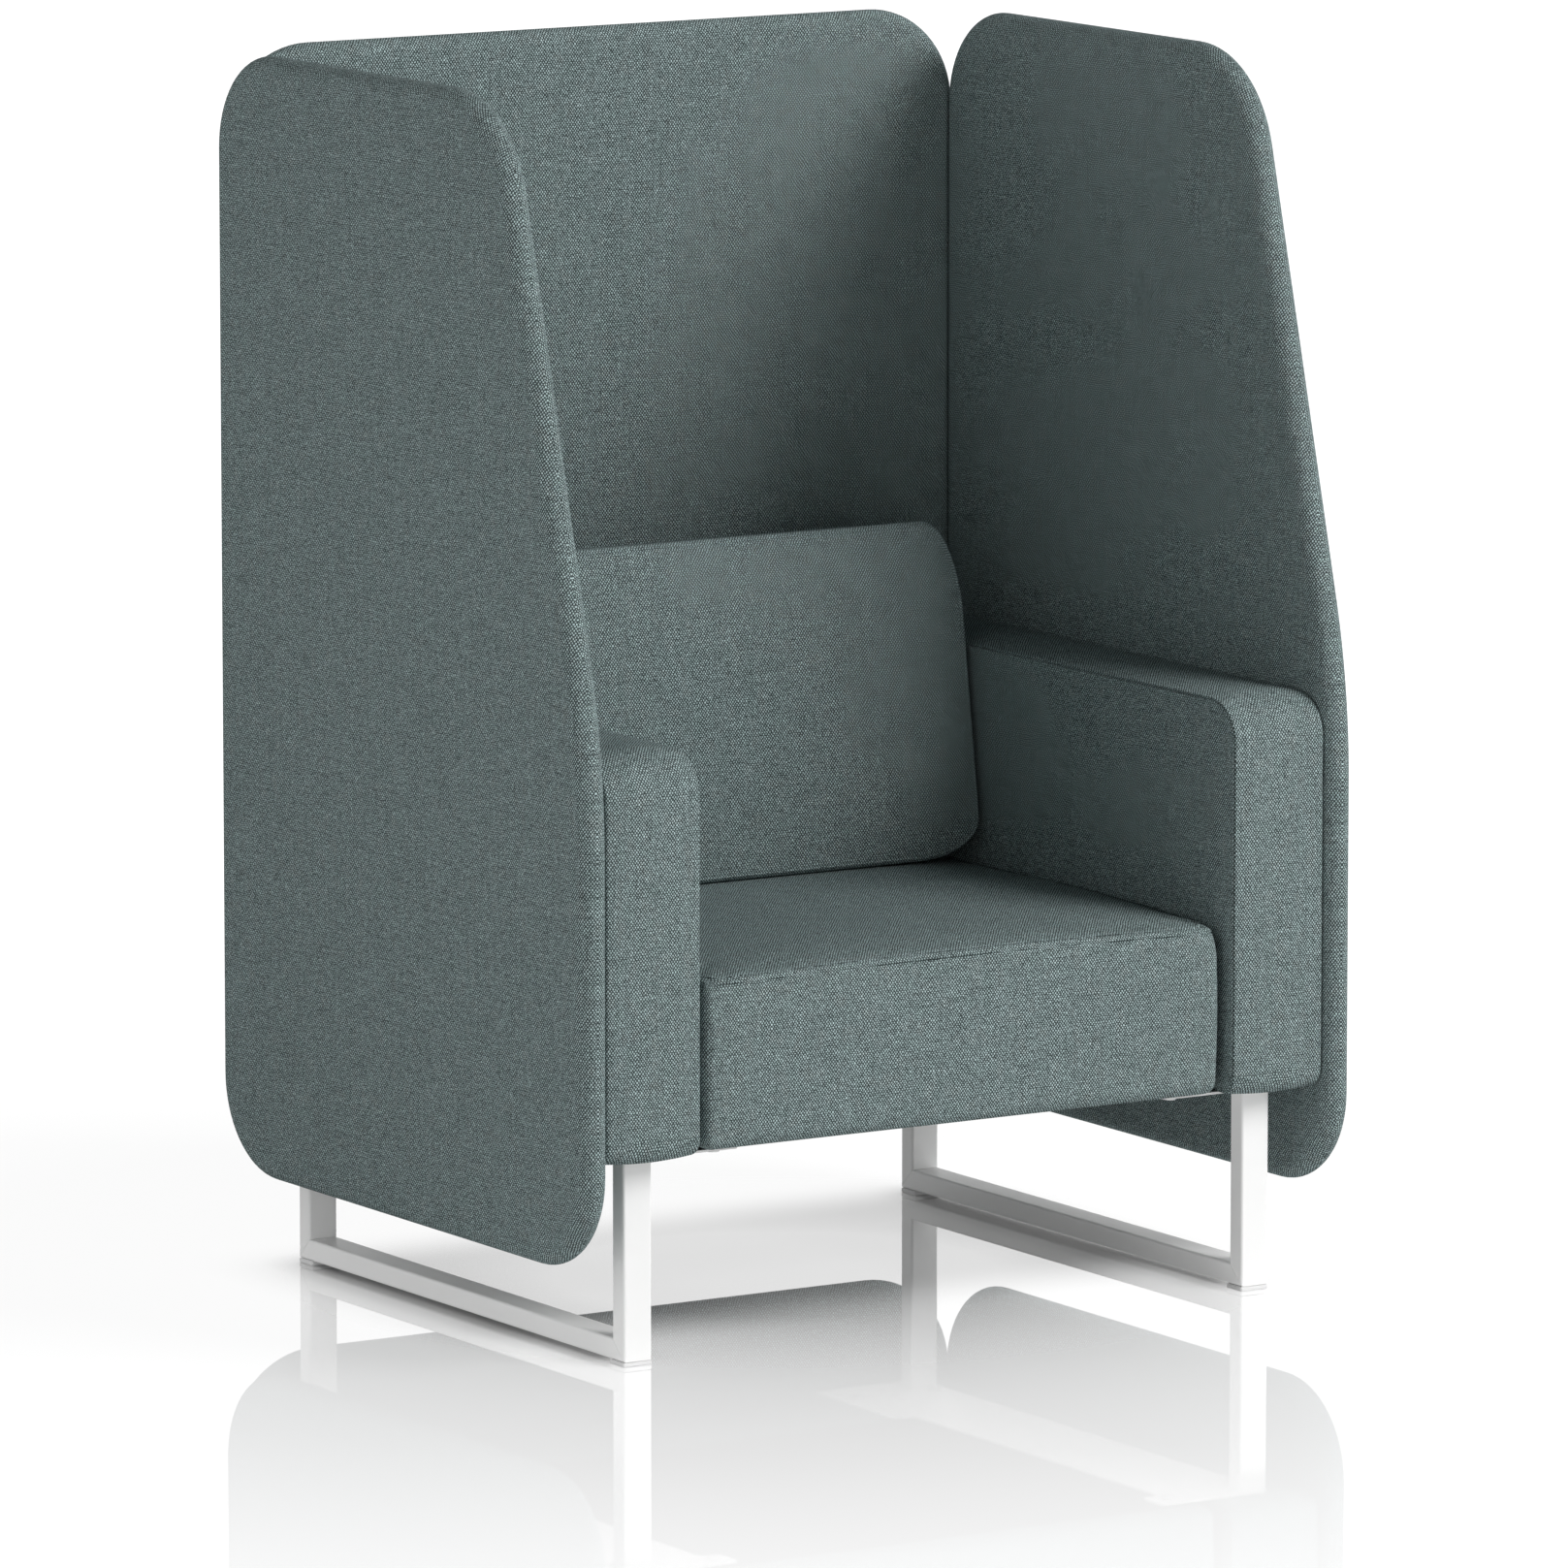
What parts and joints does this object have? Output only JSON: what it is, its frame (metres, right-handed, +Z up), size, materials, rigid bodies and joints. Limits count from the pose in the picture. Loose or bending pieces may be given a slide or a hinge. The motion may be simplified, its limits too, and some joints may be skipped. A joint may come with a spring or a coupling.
{
  "type": "privacy booth seat",
  "caption": "Upholstered armchair walled in by tall padded side and back screens with rounded corners, on white sled legs, for quiet sitting in open rooms.",
  "frame": {"origin": "centre of the bounding box in plan, on the floor under the glides", "axes": "+Z up, -Y towards the open front where a person sits down, +X to the right of a person who looks at the front"},
  "size_m": [1, 0.8274, 1.376],
  "materials": {
    "woven_fabric": "coarse plain weave, teal grey",
    "core_board": "plain board, hidden",
    "timber": "sawn, hidden",
    "dark_cloth": "thin dark lining cloth",
    "white_steel": "white satin powder coat",
    "grey_plastic": "matt",
    "zinc_steel": "zinc plated"
  },
  "bodies": {
    "root": {"back_cushion": "woven_fabric", "back_screen_core": "core_board", "back_screen_cover": "woven_fabric", "inner_back_cover": "woven_fabric", "inner_back_frame": "timber", "left_arm_cover": "woven_fabric", "left_arm_frame": "timber", "left_back_bolt": "zinc_steel", "left_back_screen_stud": "zinc_steel", "left_bracket": "white_steel", "left_front_arm_bolt": "zinc_steel", "left_front_glide": "grey_plastic", "left_front_leg": "white_steel", "left_high_corner_dowel": "zinc_steel", "left_low_corner_dowel": "zinc_steel", "left_rail": "white_steel", "left_rear_arm_bolt": "zinc_steel", "left_rear_glide": "grey_plastic", "left_rear_leg": "white_steel", "left_screen_core": "core_board", "left_screen_cover": "woven_fabric", "left_screen_front_stud": "zinc_steel", "left_screen_rear_stud": "zinc_steel", "left_seat_bolt": "zinc_steel", "right_arm_cover": "woven_fabric", "right_arm_frame": "timber", "right_back_bolt": "zinc_steel", "right_back_screen_stud": "zinc_steel", "right_bracket": "white_steel", "right_front_arm_bolt": "zinc_steel", "right_front_glide": "grey_plastic", "right_front_leg": "white_steel", "right_high_corner_dowel": "zinc_steel", "right_low_corner_dowel": "zinc_steel", "right_rail": "white_steel", "right_rear_arm_bolt": "zinc_steel", "right_rear_glide": "grey_plastic", "right_rear_leg": "white_steel", "right_screen_core": "core_board", "right_screen_cover": "woven_fabric", "right_screen_front_stud": "zinc_steel", "right_screen_rear_stud": "zinc_steel", "right_seat_bolt": "zinc_steel", "seat_cover": "woven_fabric", "seat_deck": "core_board", "seat_frame": "timber", "seat_lining": "dark_cloth"}
  },
  "joints": []
}
